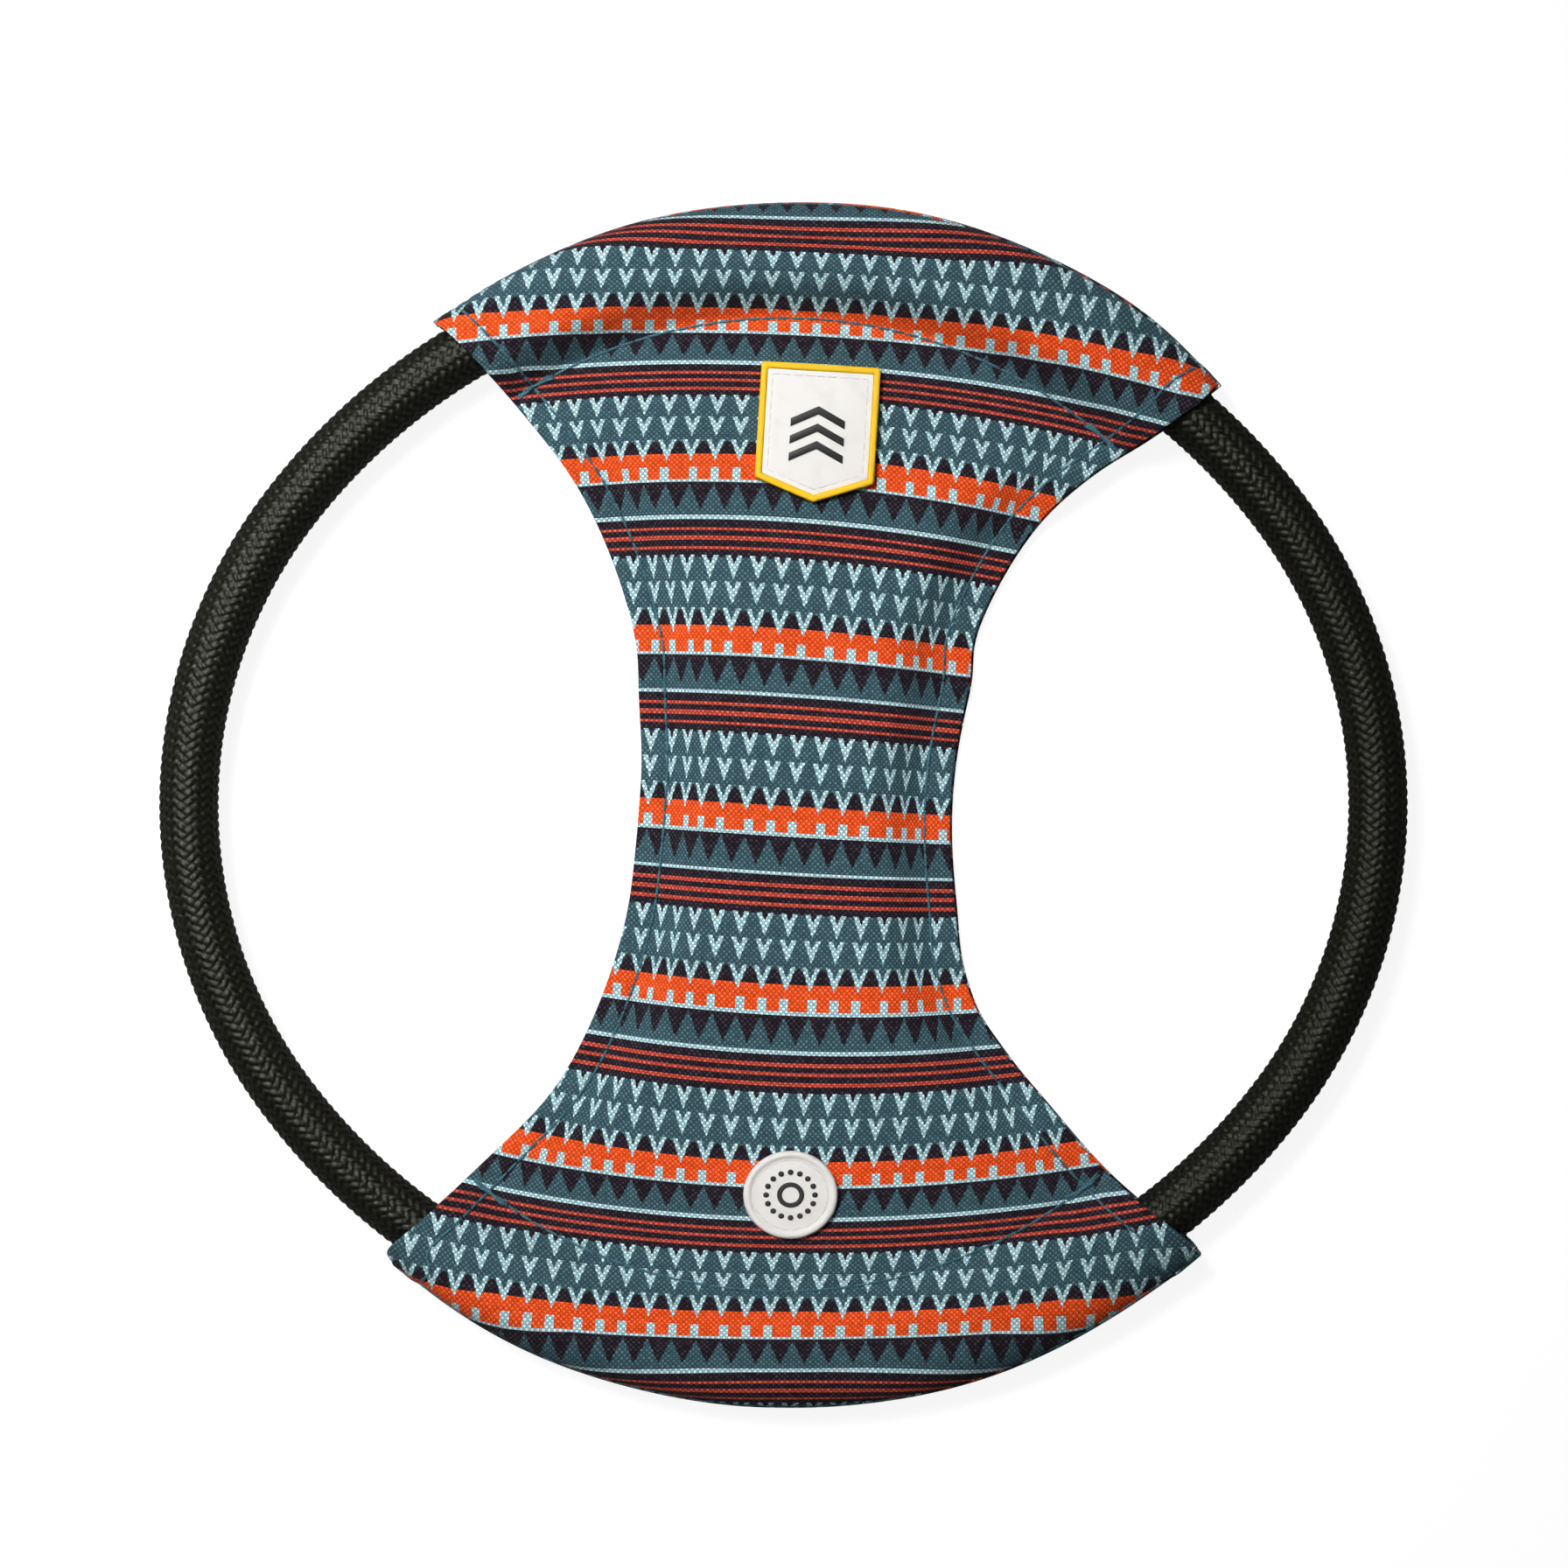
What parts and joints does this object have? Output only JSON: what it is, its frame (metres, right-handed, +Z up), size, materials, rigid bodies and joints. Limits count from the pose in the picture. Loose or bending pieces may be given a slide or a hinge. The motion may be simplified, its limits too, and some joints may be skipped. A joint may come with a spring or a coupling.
{
  "type": "soft flying ring",
  "caption": "Soft flying ring for throwing and fetching: a braided rope ring with an hourglass panel of printed cloth sleeved round it, and rubber badges sewn on the front.",
  "frame": {"origin": "on the surface that the ring lies on, under the middle of the ring", "axes": "+Z up, square to the ring; +X across the ring from one bare stretch of rope to the other; +Y from the lower sleeve to the upper sleeve"},
  "size_m": [0.23, 0.2223, 0.0134],
  "materials": {
    "rope_fibre": "loose polyester fibre",
    "rope_braid": "tight braid of dark green-black yarn, slightly shiny",
    "joint_wrap": "shrunk plastic tube",
    "printed_cloth": "woven polyester with a printed stripe pattern, matte",
    "teal_thread": "twisted polyester sewing thread",
    "yellow_rubber": "soft moulded rubber, satin",
    "white_rubber": "soft moulded rubber, satin",
    "dark_rubber": "soft moulded rubber, satin",
    "white_thread": "twisted polyester sewing thread"
  },
  "bodies": {
    "cover": {"front_panel": "printed_cloth", "back_panel": "printed_cloth", "upper_seam_thread": "teal_thread", "lower_seam_thread": "teal_thread", "upper_channel_needle_thread": "teal_thread", "upper_channel_bobbin_thread": "teal_thread", "lower_channel_needle_thread": "teal_thread", "lower_channel_bobbin_thread": "teal_thread", "left_edge_needle_thread": "teal_thread", "left_edge_bobbin_thread": "teal_thread", "right_edge_needle_thread": "teal_thread", "right_edge_bobbin_thread": "teal_thread", "corner_tacks": "teal_thread", "shield_base": "yellow_rubber", "shield_field": "white_rubber", "shield_emblem": "dark_rubber", "shield_thread": "white_thread", "round_base": "white_rubber", "round_emblem": "dark_rubber", "round_thread": "white_thread"},
    "rope": {"rope_core": "rope_fibre", "rope_sheath": "rope_braid", "rope_joint_wrap": "joint_wrap"}
  },
  "joints": [
    {"name": "rope_turn", "type": "hinge", "parent": "cover", "child": "rope", "pos_m": [0, 0, 0.0067], "axis": [0, 0, 1], "range_deg": [-5, 5]}
  ]
}
